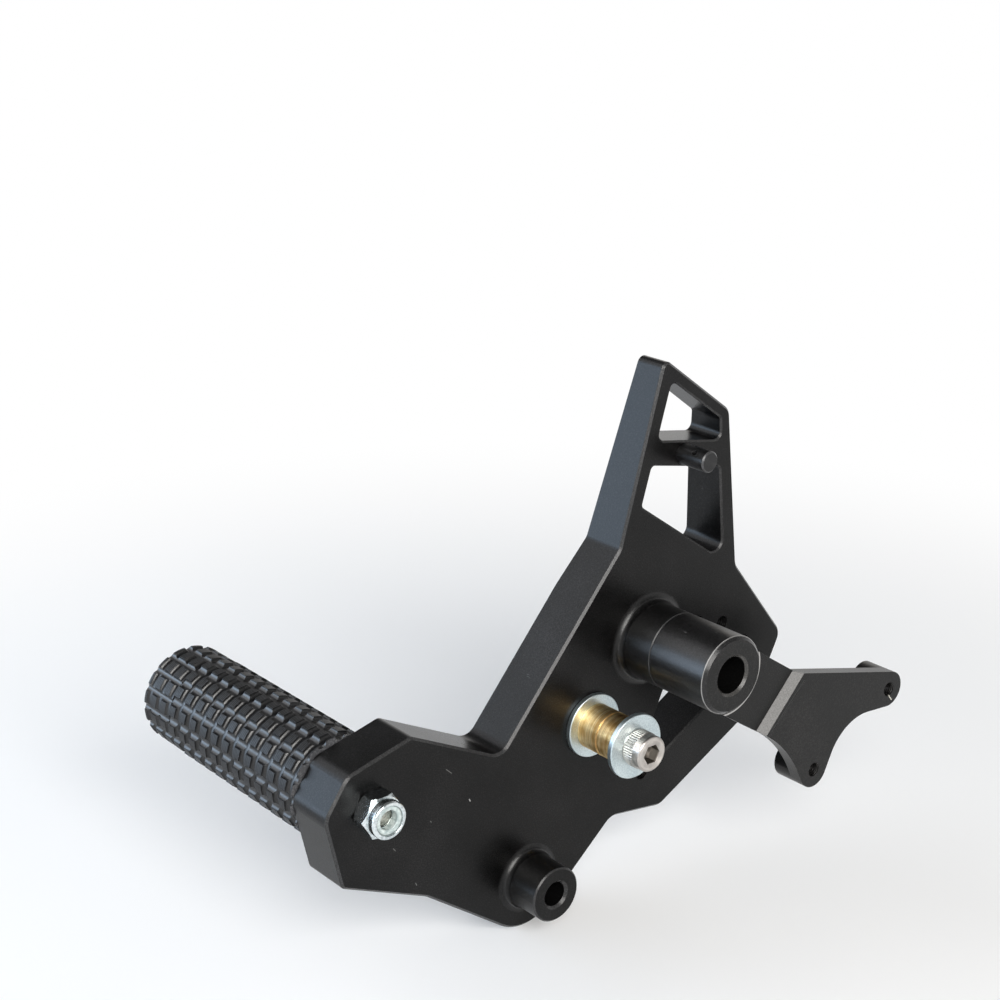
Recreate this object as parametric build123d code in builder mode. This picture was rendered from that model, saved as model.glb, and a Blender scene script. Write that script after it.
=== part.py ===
from build123d import *
import os
from math import acos, atan2, cos, hypot, radians, sin

# Rear-set motorcycle footrest, right-hand side, in millimetres.
# The frame: +X forward, +Y inboard, +Z up. The origin is on the axis of the upper frame bolt,
# in the inboard face of the side plate. The peg runs outboard, towards -Y.
# Outline corners are (x, z, radius), and axes and holes are (x, z).

# Side plate
PLATE_THICKNESS = 15.2
TIP_THICKNESS = 10.1
TAPER_START_Z = 16.5
EDGE_CHAMFER = 0.65
WINDOW_CHAMFER = 0.5
PLATE_OUTLINE = [
    (-3.6, 79.4, 2.0),
    (-29.2, 60.4, 4.0),
    (-34.4, 13.3, 5.0),
    (-54.8, -12.8, 4.0),
    (-43.4, -35.1, 4.0),
    (-6.8, -54.2, 4.0),
    (12.3, -51.3, 5.0),
    (43.3, -77.7, 14.0),
    (77.5, -52.4, 8.0),
    (104.2, -40.0, 2.0),
    (108.9, -19.4, 5.0),
    (101.8, -9.4, 5.0),
    (81.8, -4.6, 2.5),
    (52.5, -19.5, 4.5),
    (11.2, 28.8, 4.0),
]
TOP_WINDOW = [(-6.7, 72.6, 1.5), (-25.6, 58.7, 1.5), (-25.9, 52.4, 2.0), (-1.9, 56.8, 2.0)]
LOWER_WINDOW = [(-0.1, 50.1, 1.5), (-26.0, 44.6, 1.5), (-28.6, 16.4, 3.0), (3.3, 39.1, 1.5)]
TEARDROP_WINDOW = [(-13.4, -3.9, 6.0), (-38.8, -19.8, 5.0), (5.9, -44.7, 4.6)]
TAPPED_HOLES = [(-19.5, -0.5), (-29.3, -3.2), (-38.5, -11.5), (1.1, -41.1)]
TAPPED_HOLE_RADIUS = 2.1

# Frame bosses on the plate
BOSS_HEIGHT = 12.0
BOSS_FILLET = 2.6
BOSS_EDGE_CHAMFER = 0.4
UPPER_BOSS_RADIUS = 11.0
UPPER_BORE_RADIUS = 5.2
SPIGOT_RADIUS = 9.5
SPIGOT_LENGTH = 4.5
LOWER_BOSS = (43.4, -59.1)
LOWER_BOSS_RADIUS = 7.8
LOWER_BORE_RADIUS = 3.5
LOWER_BORE_CHAMFER = 0.7

# Footpeg and its end piece: blunt square teeth between round-bottomed ring grooves and flutes,
# each given by its arc's radius and its depth
PEG_AXIS = (94.4, -20.9)
PEG_RADIUS = 14.5
TOOTH_PITCH = 5.47
TOOTH_ROWS = 16
RING_GROOVES = 11
FIRST_GROOVE_Y = -16.95
RING_GROOVE = (1.3, 1.3)
FLUTE = (1.5, 1.15)
FLUTE_ANGLE = 49.65
END_PIECE_LENGTH = 12.9
END_PIECE_RADIUS = 14.3
END_PIECE_CHAMFER = 0.8
END_RING_GROOVES = 3
END_GROOVE_PITCH = 5.0
END_RING_GROOVE = (1.2, 0.9)
END_FLUTE = (1.1, 1.05)
END_FLUTE_ANGLE = 46.9

# Peg bolt and its self-locking nut
BOLT_RADIUS = 3.0
BOLT_CLEARANCE = 0.15
BOLT_TIP_Y = 4.4
BOLT_TIP_CHAMFER = 0.6
BOLT_HEAD_RADIUS = 5.0
BOLT_HEAD_HEIGHT = 6.0
BOLT_HEAD_SINK = 0.9
BOLT_KEY = 5.0
NUT_ACROSS_FLATS = 11.0
NUT_HEX_HEIGHT = 4.7
NUT_HEX_CHAMFER = 0.7
NUT_HEIGHT = 7.5
NUT_COLLAR_RADIUS = 5.2
NUT_COLLAR_FILLET = 0.7
NUT_LIP_FILLET = 0.3
INSERT_OUTER_RADIUS = 4.0
INSERT_INNER_RADIUS = 2.6
INSERT_BOTTOM_Y = 4.7
INSERT_TOP_Y = 7.0
INSERT_MOUTH_FILLET = 0.4

# Brake lever pivot
PIVOT_AXIS = (20.8, -19.7)
WASHER_RADIUS = 9.1
WASHER_BORE_RADIUS = 3.2
WASHER_THICKNESS = 1.6
WASHER_EDGE_RADIUS = 0.25
BUSH_RADIUS = 6.4
BUSH_BORE_RADIUS = 3.1
BUSH_LENGTH = 14.8
BUSH_GROOVE_DEPTH = 0.25
BUSH_GROOVE_WIDTH = 0.5
SCREW_RADIUS = 3.0
SCREW_END_Y = -11.5
SCREW_HEAD_RADIUS = 5.0
SCREW_HEAD_HEIGHT = 6.0
SCREW_KEY = 5.0

# Return spring post
POST_AXIS = (-11.7, 51.3)
POST_RADIUS = 3.0
POST_LENGTH = 10.0
POST_END_CHAMFER = 0.4
STEM_RADIUS = 2.0
STEM_LENGTH = 9.0
CROSS_HOLE_RADIUS = 0.8
CROSS_HOLE_Y = 6.0
CROSS_HOLE_ANGLE = 45.0

# Master cylinder bracket: a hub that turns on the upper boss's spigot, a straight arm and,
# past a sloped step, a thinner fork with a boss at each tip
HUB_RADIUS = 11.0
HUB_FRONT_Y = 32.5
HUB_SHOULDER_GAP = 0.1
HUB_SPIGOT_PLAY = 0.05
HUB_EDGE_CHAMFER = 1.0
HUB_BORE_CHAMFER = 0.7
ARM_BACK_Y = 25.0
ARM_FRONT_Y = 31.1
ARM_UPPER_EDGE = (-5.1, 7.5)
ARM_LOWER_EDGE = (5.8, -8.6)
UPPER_BEND = (-25.57, -6.37)
LOWER_BEND = (-22.45, -27.58, 42.0)
FORK_BEND = (-45.47, -26.17, 15.0)
UPPER_FORK_HOLE = (-64.68, -22.65)
LOWER_FORK_HOLE = (-33.81, -38.34)
FORK_WEB = 3.9
FORK_BOSS_RADIUS = 5.3
FORK_BOSS_BACK_Y = 23.3
FORK_HOLE_RADIUS = 2.1
STEP_ANGLE = 223.8
STEP_DISTANCE = 22.45
STEP_RISE = 2.2
ARM_OVERLAP = 5.0

# Shared by several pieces
THREAD_PLAY = 0.05
HEAD_EDGE_RADIUS = 0.5
LEVEL_TOLERANCE = 0.01

SPIGOT_END_Y = BOSS_HEIGHT + SPIGOT_LENGTH
PEG_END_Y = FIRST_GROOVE_Y - RING_GROOVES * TOOTH_PITCH
END_PIECE_END_Y = PEG_END_Y - END_PIECE_LENGTH
BOLT_SEAT_Y = END_PIECE_END_Y + BOLT_HEAD_SINK + BOLT_HEAD_HEIGHT
BUSH_END_Y = WASHER_THICKNESS + BUSH_LENGTH
SCREW_SEAT_Y = BUSH_END_Y + WASHER_THICKNESS
FORK_FRONT_Y = ARM_FRONT_Y + STEP_RISE
STEP_DIRECTION = (cos(radians(STEP_ANGLE)), 0, sin(radians(STEP_ANGLE)))


def facing(y):
    """Plane across the Y axis at y: its x is +X, its y is +Z, and it extrudes outboard."""
    return Plane.XZ.offset(-y)


def holding(axis):
    """Plane that holds a Y-parallel axis: its x is the distance from the axis, its y is Y."""
    return Plane(origin=(axis[0], 0, axis[1]), x_dir=(1, 0, 0), z_dir=(0, 0, 1))


def line_of(axis):
    """The Y-parallel line through (x, z), to turn a profile about."""
    return Axis((axis[0], 0, axis[1]), (0, 1, 0))


def rounded_line(corners):
    """Closed line through (x, z, radius) corners."""
    points = [(x, z) for x, z, radius in corners]
    radii = [radius for x, z, radius in corners]
    return FilletPolyline(*points, radius=radii, close=True)


def groove_axis(surface_radius, groove):
    """How far from the peg's axis the arc of a groove, given by its radius and depth, has its centre."""
    arc_radius, depth = groove
    return surface_radius + arc_radius - depth


def circles(piece, y, radius):
    """Round edges of a piece at y with this radius."""
    level = piece.edges().filter_by(GeomType.CIRCLE).filter_by_position(
        Axis.Y, y - LEVEL_TOLERANCE, y + LEVEL_TOLERANCE
    )
    return [edge for edge in level if abs(edge.radius - radius) < LEVEL_TOLERANCE]


def tangent_point(point, centre, side):
    """Where the line from a point touches a fork boss, on one side (1) or the other (-1)."""
    dx = point[0] - centre[0]
    dz = point[1] - centre[1]
    angle = atan2(dz, dx) + side * acos(FORK_BOSS_RADIUS / hypot(dx, dz))
    return (centre[0] + FORK_BOSS_RADIUS * cos(angle), centre[1] + FORK_BOSS_RADIUS * sin(angle))


def reach(start, through, distance):
    """Where the line from start through another point is this far from the hub, square to the step."""
    step_x, _, step_z = STEP_DIRECTION
    run_x = through[0] - start[0]
    run_z = through[1] - start[1]
    share = (distance - start[0] * step_x - start[1] * step_z) / (run_x * step_x + run_z * step_z)
    return (start[0] + share * run_x, start[1] + share * run_z)


os.makedirs("parts", exist_ok=True)

# Side plate: thinner towards its top tip, with two bosses on its inboard face
with BuildPart() as side_plate:
    with BuildSketch(facing(0)):
        with BuildLine():
            rounded_line(PLATE_OUTLINE)
        make_face()
        for window in (TOP_WINDOW, LOWER_WINDOW, TEARDROP_WINDOW):
            with BuildLine():
                rounded_line(window)
            make_face(mode=Mode.SUBTRACT)
    extrude(amount=PLATE_THICKNESS)
    tip_z = PLATE_OUTLINE[0][1]
    with BuildSketch(Plane.YZ):
        with BuildLine():
            Polyline(
                (-PLATE_THICKNESS, TAPER_START_Z),
                (-PLATE_THICKNESS, tip_z),
                (-TIP_THICKNESS, tip_z),
                close=True,
            )
        make_face()
    extrude(amount=tip_z, both=True, mode=Mode.SUBTRACT)
    back_faces = side_plate.faces().filter_by(lambda face: face.normal_at().Y < -0.9)
    crease = side_plate.edges().filter_by(Axis.X).filter_by_position(
        Axis.Z, TAPER_START_Z - LEVEL_TOLERANCE, TAPER_START_Z + LEVEL_TOLERANCE
    )
    rim = ShapeList()
    window_rims = ShapeList()
    for face in (side_plate.faces().sort_by(Axis.Y)[-1], *back_faces):
        rim += face.outer_wire().edges()
        for wire in face.inner_wires():
            window_rims += wire.edges()
    chamfer([edge for edge in rim if edge not in crease], length=EDGE_CHAMFER)
    chamfer(window_rims, length=WINDOW_CHAMFER)
    with BuildSketch(facing(BOSS_HEIGHT)):
        Circle(UPPER_BOSS_RADIUS)
        with Locations(LOWER_BOSS):
            Circle(LOWER_BOSS_RADIUS)
    extrude(amount=BOSS_HEIGHT)
    for radius in (UPPER_BOSS_RADIUS, LOWER_BOSS_RADIUS):
        fillet(circles(side_plate, 0, radius), radius=BOSS_FILLET)
        chamfer(circles(side_plate, BOSS_HEIGHT, radius), length=BOSS_EDGE_CHAMFER)
    with BuildSketch(facing(SPIGOT_END_Y)):
        Circle(SPIGOT_RADIUS)
    extrude(amount=SPIGOT_LENGTH)
    chamfer(circles(side_plate, SPIGOT_END_Y, SPIGOT_RADIUS), length=BOSS_EDGE_CHAMFER)
    with BuildSketch(facing(SPIGOT_END_Y)):
        Circle(UPPER_BORE_RADIUS)
        with Locations(LOWER_BOSS):
            Circle(LOWER_BORE_RADIUS)
        with Locations(PEG_AXIS):
            Circle(BOLT_RADIUS + BOLT_CLEARANCE)
        with Locations(PIVOT_AXIS):
            Circle(SCREW_RADIUS)
        with Locations(POST_AXIS):
            Circle(STEM_RADIUS)
        with Locations(*TAPPED_HOLES):
            Circle(TAPPED_HOLE_RADIUS)
    extrude(amount=SPIGOT_END_Y + PLATE_THICKNESS, mode=Mode.SUBTRACT)
    chamfer(circles(side_plate, BOSS_HEIGHT, LOWER_BORE_RADIUS), length=LOWER_BORE_CHAMFER)
side_plate.part.label = "side_plate"
export_step(side_plate.part, "parts/side_plate.step")

# Footpeg
with BuildPart() as footpeg:
    with BuildSketch(facing(-PLATE_THICKNESS)):
        with Locations(PEG_AXIS):
            Circle(PEG_RADIUS)
            Circle(BOLT_RADIUS + BOLT_CLEARANCE, mode=Mode.SUBTRACT)
            with PolarLocations(groove_axis(PEG_RADIUS, FLUTE), TOOTH_ROWS, start_angle=FLUTE_ANGLE):
                Circle(FLUTE[0], mode=Mode.SUBTRACT)
    extrude(amount=-PLATE_THICKNESS - PEG_END_Y)
    with BuildSketch(holding(PEG_AXIS)):
        for index in range(RING_GROOVES + 1):
            with Locations((groove_axis(PEG_RADIUS, RING_GROOVE), FIRST_GROOVE_Y - index * TOOTH_PITCH)):
                Circle(RING_GROOVE[0])
    revolve(axis=line_of(PEG_AXIS), mode=Mode.SUBTRACT)
footpeg.part.label = "footpeg"
export_step(footpeg.part, "parts/footpeg.step")

# Outer end of the peg: finer grooves, turned against the bar's, and a seat for the bolt head
with BuildPart() as peg_end_piece:
    with BuildSketch(facing(PEG_END_Y)):
        with Locations(PEG_AXIS):
            Circle(END_PIECE_RADIUS)
    extrude(amount=END_PIECE_LENGTH)
    chamfer(circles(peg_end_piece, END_PIECE_END_Y, END_PIECE_RADIUS), length=END_PIECE_CHAMFER)
    with BuildSketch(facing(PEG_END_Y)):
        with Locations(PEG_AXIS):
            Circle(BOLT_RADIUS + BOLT_CLEARANCE)
            flute_radius = groove_axis(END_PIECE_RADIUS, END_FLUTE)
            with PolarLocations(flute_radius, TOOTH_ROWS, start_angle=END_FLUTE_ANGLE):
                Circle(END_FLUTE[0])
    extrude(amount=END_PIECE_LENGTH, mode=Mode.SUBTRACT)
    with BuildSketch(holding(PEG_AXIS)):
        for index in range(END_RING_GROOVES):
            ring_radius = groove_axis(END_PIECE_RADIUS, END_RING_GROOVE)
            with Locations((ring_radius, PEG_END_Y - index * END_GROOVE_PITCH)):
                Circle(END_RING_GROOVE[0])
    revolve(axis=line_of(PEG_AXIS), mode=Mode.SUBTRACT)
    with BuildSketch(facing(BOLT_SEAT_Y)):
        with Locations(PEG_AXIS):
            Circle(BOLT_HEAD_RADIUS + BOLT_CLEARANCE)
    extrude(amount=BOLT_SEAT_Y - END_PIECE_END_Y, mode=Mode.SUBTRACT)
peg_end_piece.part.label = "peg_end_piece"
export_step(peg_end_piece.part, "parts/peg_end_piece.step")

# Long socket screw through the end piece, the peg and the plate, with its head outboard
with BuildPart() as peg_bolt:
    with BuildSketch(facing(BOLT_TIP_Y)):
        with Locations(PEG_AXIS):
            Circle(BOLT_RADIUS)
    extrude(amount=BOLT_TIP_Y - BOLT_SEAT_Y)
    chamfer(circles(peg_bolt, BOLT_TIP_Y, BOLT_RADIUS), length=BOLT_TIP_CHAMFER)
    with BuildSketch(facing(BOLT_SEAT_Y)):
        with Locations(PEG_AXIS):
            Circle(BOLT_HEAD_RADIUS)
    extrude(amount=BOLT_HEAD_HEIGHT)
    fillet(circles(peg_bolt, BOLT_SEAT_Y - BOLT_HEAD_HEIGHT, BOLT_HEAD_RADIUS), radius=HEAD_EDGE_RADIUS)
    with BuildSketch(facing(BOLT_SEAT_Y - BOLT_HEAD_HEIGHT / 2)):
        with Locations(PEG_AXIS):
            RegularPolygon(BOLT_KEY / 2, 6, major_radius=False)
    extrude(amount=BOLT_HEAD_HEIGHT / 2, mode=Mode.SUBTRACT)
peg_bolt.part.label = "peg_bolt"
export_step(peg_bolt.part, "parts/peg_bolt.step")

# Self-locking nut: a hexagon with turned corners below a round collar
with BuildPart() as peg_lock_nut:
    with BuildSketch(facing(NUT_HEX_HEIGHT)):
        with Locations(PEG_AXIS):
            RegularPolygon(NUT_ACROSS_FLATS / 2, 6, major_radius=False)
    extrude(amount=NUT_HEX_HEIGHT)
    corner_radius = NUT_ACROSS_FLATS / 2 / cos(radians(30))
    with BuildSketch(holding(PEG_AXIS)):
        with BuildLine():
            Polyline(
                (0, 0),
                (NUT_ACROSS_FLATS / 2, 0),
                (corner_radius, NUT_HEX_CHAMFER),
                (corner_radius, NUT_HEX_HEIGHT - NUT_HEX_CHAMFER),
                (NUT_ACROSS_FLATS / 2, NUT_HEX_HEIGHT),
                (0, NUT_HEX_HEIGHT),
                close=True,
            )
        make_face()
    revolve(axis=line_of(PEG_AXIS), mode=Mode.INTERSECT)
    with BuildSketch(facing(NUT_HEIGHT)):
        with Locations(PEG_AXIS):
            Circle(NUT_COLLAR_RADIUS)
    extrude(amount=NUT_HEIGHT - NUT_HEX_HEIGHT)
    fillet(circles(peg_lock_nut, NUT_HEIGHT, NUT_COLLAR_RADIUS), radius=NUT_COLLAR_FILLET)
    thread = (BOLT_RADIUS + THREAD_PLAY, NUT_HEIGHT)
    insert_seat = (INSERT_OUTER_RADIUS, NUT_HEIGHT - INSERT_BOTTOM_Y)
    for radius, depth in (thread, insert_seat):
        with BuildSketch(facing(NUT_HEIGHT)):
            with Locations(PEG_AXIS):
                Circle(radius)
        extrude(amount=depth, mode=Mode.SUBTRACT)
    fillet(circles(peg_lock_nut, NUT_HEIGHT, INSERT_OUTER_RADIUS), radius=NUT_LIP_FILLET)
peg_lock_nut.part.label = "peg_lock_nut"
export_step(peg_lock_nut.part, "parts/peg_lock_nut.step")

# Nylon ring in the nut's collar
with BuildPart() as lock_nut_insert:
    with BuildSketch(facing(INSERT_TOP_Y)):
        with Locations(PEG_AXIS):
            Circle(INSERT_OUTER_RADIUS)
            Circle(INSERT_INNER_RADIUS, mode=Mode.SUBTRACT)
    extrude(amount=INSERT_TOP_Y - INSERT_BOTTOM_Y)
    fillet(circles(lock_nut_insert, INSERT_TOP_Y, INSERT_INNER_RADIUS), radius=INSERT_MOUTH_FILLET)
lock_nut_insert.part.label = "lock_nut_insert"
export_step(lock_nut_insert.part, "parts/lock_nut_insert.step")

# Lever pivot washers, one at each end of the bush
for name, bottom_y in (("inner_pivot_washer", 0), ("outer_pivot_washer", BUSH_END_Y)):
    with BuildPart() as pivot_washer:
        with BuildSketch(facing(bottom_y + WASHER_THICKNESS)):
            with Locations(PIVOT_AXIS):
                Circle(WASHER_RADIUS)
                Circle(WASHER_BORE_RADIUS, mode=Mode.SUBTRACT)
        extrude(amount=WASHER_THICKNESS)
        rims = pivot_washer.edges().filter_by(GeomType.CIRCLE).sort_by(SortBy.RADIUS)[-2:]
        fillet(rims, radius=WASHER_EDGE_RADIUS)
    pivot_washer.part.label = name
    export_step(pivot_washer.part, f"parts/{name}.step")

# Brass bush that the lever turns on
with BuildPart() as pivot_bush:
    with BuildSketch(facing(BUSH_END_Y)):
        with Locations(PIVOT_AXIS):
            Circle(BUSH_RADIUS)
            Circle(BUSH_BORE_RADIUS, mode=Mode.SUBTRACT)
    extrude(amount=BUSH_LENGTH)
    with BuildSketch(holding(PIVOT_AXIS)):
        with Locations((BUSH_RADIUS, WASHER_THICKNESS + BUSH_LENGTH / 2)):
            Rectangle(2 * BUSH_GROOVE_DEPTH, BUSH_GROOVE_WIDTH)
    revolve(axis=line_of(PIVOT_AXIS), mode=Mode.SUBTRACT)
pivot_bush.part.label = "pivot_bush"
export_step(pivot_bush.part, "parts/pivot_bush.step")

# Socket cap screw that holds the pivot together
with BuildPart() as pivot_screw:
    with BuildSketch(facing(SCREW_SEAT_Y)):
        with Locations(PIVOT_AXIS):
            Circle(SCREW_RADIUS - THREAD_PLAY)
    extrude(amount=SCREW_SEAT_Y - SCREW_END_Y)
    screw_top_y = SCREW_SEAT_Y + SCREW_HEAD_HEIGHT
    with BuildSketch(facing(screw_top_y)):
        with Locations(PIVOT_AXIS):
            Circle(SCREW_HEAD_RADIUS)
    extrude(amount=SCREW_HEAD_HEIGHT)
    fillet(circles(pivot_screw, screw_top_y, SCREW_HEAD_RADIUS), radius=HEAD_EDGE_RADIUS)
    with BuildSketch(facing(screw_top_y)):
        with Locations(PIVOT_AXIS):
            RegularPolygon(SCREW_KEY / 2, 6, major_radius=False)
    extrude(amount=SCREW_HEAD_HEIGHT / 2, mode=Mode.SUBTRACT)
pivot_screw.part.label = "pivot_screw"
export_step(pivot_screw.part, "parts/pivot_screw.step")

# Return spring post, screwed into the crossbar, with a cross hole for the spring's hook
with BuildPart() as spring_post:
    with BuildSketch(facing(POST_LENGTH)):
        with Locations(POST_AXIS):
            Circle(POST_RADIUS)
    extrude(amount=POST_LENGTH)
    chamfer(circles(spring_post, POST_LENGTH, POST_RADIUS), length=POST_END_CHAMFER)
    with BuildSketch(facing(0)):
        with Locations(POST_AXIS):
            Circle(STEM_RADIUS - THREAD_PLAY)
    extrude(amount=STEM_LENGTH)
    hole_direction = (cos(radians(CROSS_HOLE_ANGLE)), 0, sin(radians(CROSS_HOLE_ANGLE)))
    with BuildSketch(Plane(origin=(POST_AXIS[0], CROSS_HOLE_Y, POST_AXIS[1]), z_dir=hole_direction)):
        Circle(CROSS_HOLE_RADIUS)
    extrude(amount=2 * POST_RADIUS, both=True, mode=Mode.SUBTRACT)
spring_post.part.label = "spring_post"
export_step(spring_post.part, "parts/spring_post.step")

# Master cylinder bracket
upper_tip_top = tangent_point(UPPER_BEND, UPPER_FORK_HOLE, 1)
upper_tip_bottom = tangent_point(FORK_BEND, UPPER_FORK_HOLE, -1)
lower_tip_outer = tangent_point(FORK_BEND, LOWER_FORK_HOLE, 1)
lower_tip_inner = tangent_point(LOWER_BEND, LOWER_FORK_HOLE, -1)
fork_outline = [
    (*reach(UPPER_BEND, upper_tip_top, STEP_DISTANCE), 0),
    (*upper_tip_top, 0),
    (*upper_tip_bottom, 0),
    FORK_BEND,
    (*lower_tip_outer, 0),
    (*lower_tip_inner, 0),
    LOWER_BEND,
    (*reach(ARM_LOWER_EDGE, LOWER_BEND, STEP_DISTANCE), 0),
]
arm_end = STEP_DISTANCE + ARM_OVERLAP
with BuildPart() as master_cylinder_bracket:
    with BuildSketch(facing(FORK_FRONT_Y)):
        with BuildLine():
            rounded_line(fork_outline)
        make_face()
    extrude(amount=FORK_WEB)
    front_edges = master_cylinder_bracket.edges().filter_by_position(
        Axis.Y, FORK_FRONT_Y - LEVEL_TOLERANCE, FORK_FRONT_Y + LEVEL_TOLERANCE
    )
    chamfer(front_edges.sort_by(Axis((0, 0, 0), STEP_DIRECTION))[0], length=STEP_RISE)
    with BuildSketch(facing(ARM_FRONT_Y)):
        with BuildLine():
            Polyline(
                ARM_UPPER_EDGE,
                reach(ARM_UPPER_EDGE, UPPER_BEND, arm_end),
                reach(ARM_LOWER_EDGE, LOWER_BEND, arm_end),
                ARM_LOWER_EDGE,
                close=True,
            )
        make_face()
    extrude(amount=ARM_FRONT_Y - ARM_BACK_Y)
    with BuildSketch(facing(FORK_FRONT_Y)):
        with Locations(UPPER_FORK_HOLE, LOWER_FORK_HOLE):
            Circle(FORK_BOSS_RADIUS)
    extrude(amount=FORK_FRONT_Y - FORK_BOSS_BACK_Y)
    with BuildSketch(facing(HUB_FRONT_Y)):
        Circle(HUB_RADIUS)
    extrude(amount=HUB_FRONT_Y - BOSS_HEIGHT - HUB_SHOULDER_GAP)
    chamfer(circles(master_cylinder_bracket, HUB_FRONT_Y, HUB_RADIUS), length=HUB_EDGE_CHAMFER)
    with BuildSketch(facing(HUB_FRONT_Y)):
        Circle(UPPER_BORE_RADIUS)
    extrude(amount=HUB_FRONT_Y - BOSS_HEIGHT, mode=Mode.SUBTRACT)
    with BuildSketch(facing(SPIGOT_END_Y + HUB_SHOULDER_GAP)):
        Circle(SPIGOT_RADIUS + HUB_SPIGOT_PLAY)
    extrude(amount=SPIGOT_LENGTH + HUB_SHOULDER_GAP, mode=Mode.SUBTRACT)
    chamfer(circles(master_cylinder_bracket, HUB_FRONT_Y, UPPER_BORE_RADIUS), length=HUB_BORE_CHAMFER)
    with BuildSketch(facing(FORK_FRONT_Y)):
        with Locations(UPPER_FORK_HOLE, LOWER_FORK_HOLE):
            Circle(FORK_HOLE_RADIUS)
    extrude(amount=FORK_FRONT_Y - FORK_BOSS_BACK_Y, mode=Mode.SUBTRACT)
master_cylinder_bracket.part.label = "master_cylinder_bracket"
export_step(master_cylinder_bracket.part, "parts/master_cylinder_bracket.step")
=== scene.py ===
from math import cos, hypot, pi, sin, tau

import bpy
from mathutils import Matrix, Vector


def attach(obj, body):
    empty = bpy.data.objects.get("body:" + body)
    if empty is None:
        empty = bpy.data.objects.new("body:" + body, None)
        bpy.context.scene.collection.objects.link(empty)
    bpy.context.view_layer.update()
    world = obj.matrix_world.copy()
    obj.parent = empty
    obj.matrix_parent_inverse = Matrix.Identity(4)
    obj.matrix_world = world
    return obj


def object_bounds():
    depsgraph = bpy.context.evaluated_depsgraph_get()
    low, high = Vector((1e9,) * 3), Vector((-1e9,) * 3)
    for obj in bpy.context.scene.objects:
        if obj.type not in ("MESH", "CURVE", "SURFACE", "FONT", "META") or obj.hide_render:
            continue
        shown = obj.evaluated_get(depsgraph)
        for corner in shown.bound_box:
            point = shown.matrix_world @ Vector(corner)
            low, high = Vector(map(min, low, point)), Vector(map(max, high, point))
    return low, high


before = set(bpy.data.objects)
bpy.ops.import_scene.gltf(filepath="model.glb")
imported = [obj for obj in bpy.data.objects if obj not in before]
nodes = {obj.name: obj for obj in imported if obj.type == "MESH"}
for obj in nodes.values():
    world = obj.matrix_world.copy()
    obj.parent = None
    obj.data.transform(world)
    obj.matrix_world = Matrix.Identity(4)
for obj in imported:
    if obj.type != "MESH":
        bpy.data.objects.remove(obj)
cad_low, cad_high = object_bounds()

# Blender's lengths are metres; MM turns millimetres into metres
MM = 0.001

# Axes of round features, as (x, z) in millimetres
PIVOT_AXIS = (20.8, -19.7)
PEG_AXIS = (94.4, -20.9)
HUB_AXIS = (0.0, 0.0)
LOWER_BOSS_AXIS = (43.4, -59.1)
POST_AXIS = (-11.7, 51.3)
TAPPED_HOLES = [(-19.5, -0.5), (-29.3, -3.2), (-38.5, -11.5), (1.1, -41.1)]
FORK_HOLES = [(-64.68, -22.65), (-33.81, -38.34)]

# Noises that several looks share, as cells per metre and detail
GRAIN = (2600, 3)
FINE = (7000, 2)
EDGE_PATCH_NOISE = (420, 3)


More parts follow.
